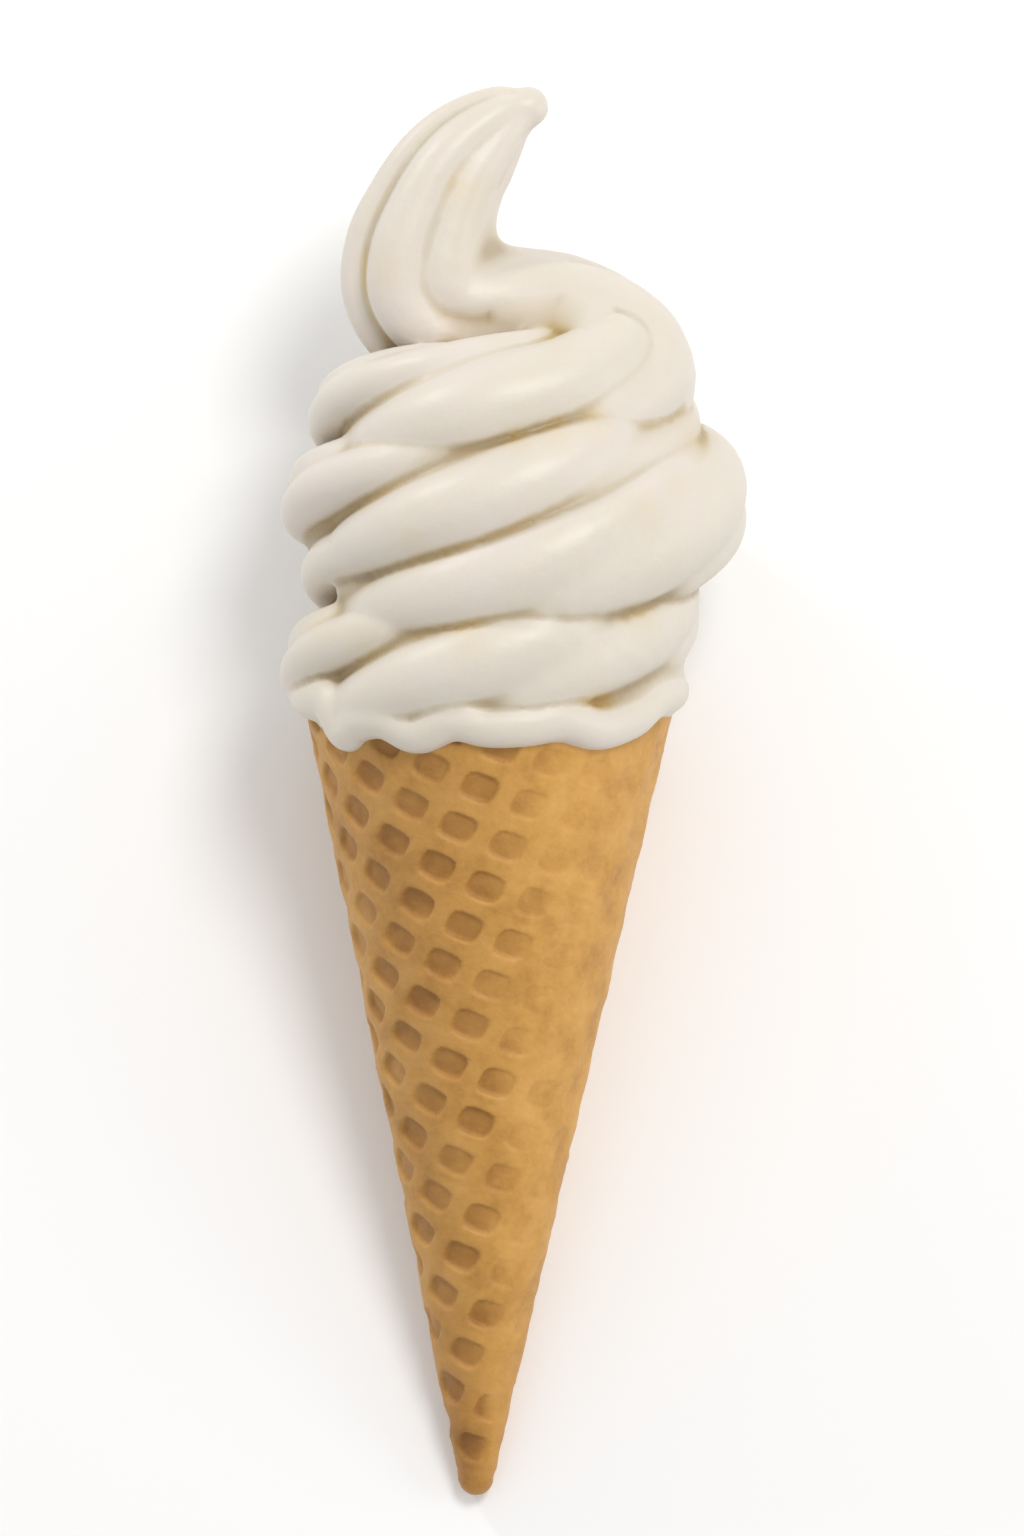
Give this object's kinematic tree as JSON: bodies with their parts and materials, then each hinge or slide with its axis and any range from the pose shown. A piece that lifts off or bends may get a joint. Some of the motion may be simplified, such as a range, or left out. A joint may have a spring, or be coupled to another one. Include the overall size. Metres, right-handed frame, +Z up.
{
  "type": "soft serve cone",
  "caption": "Rolled wafer cone filled and topped with a piped swirl of vanilla soft serve, lying on its side.",
  "frame": {"origin": "on the surface the cone lies on, under the middle of its bounding box", "axes": "+Y runs along the cone from its tip to the swirl, +Z is up, towards the side of the swirl that shows"},
  "size_m": [0.0744, 0.2212, 0.0688],
  "materials": {
    "soft_serve": "ivory ice cream, smooth and softly matte",
    "wafer": "toasted tan wafer with a pressed grid of square pockets"
  },
  "bodies": {
    "root": {"soft_serve": "soft_serve", "wafer_cone": "wafer"}
  },
  "joints": []
}
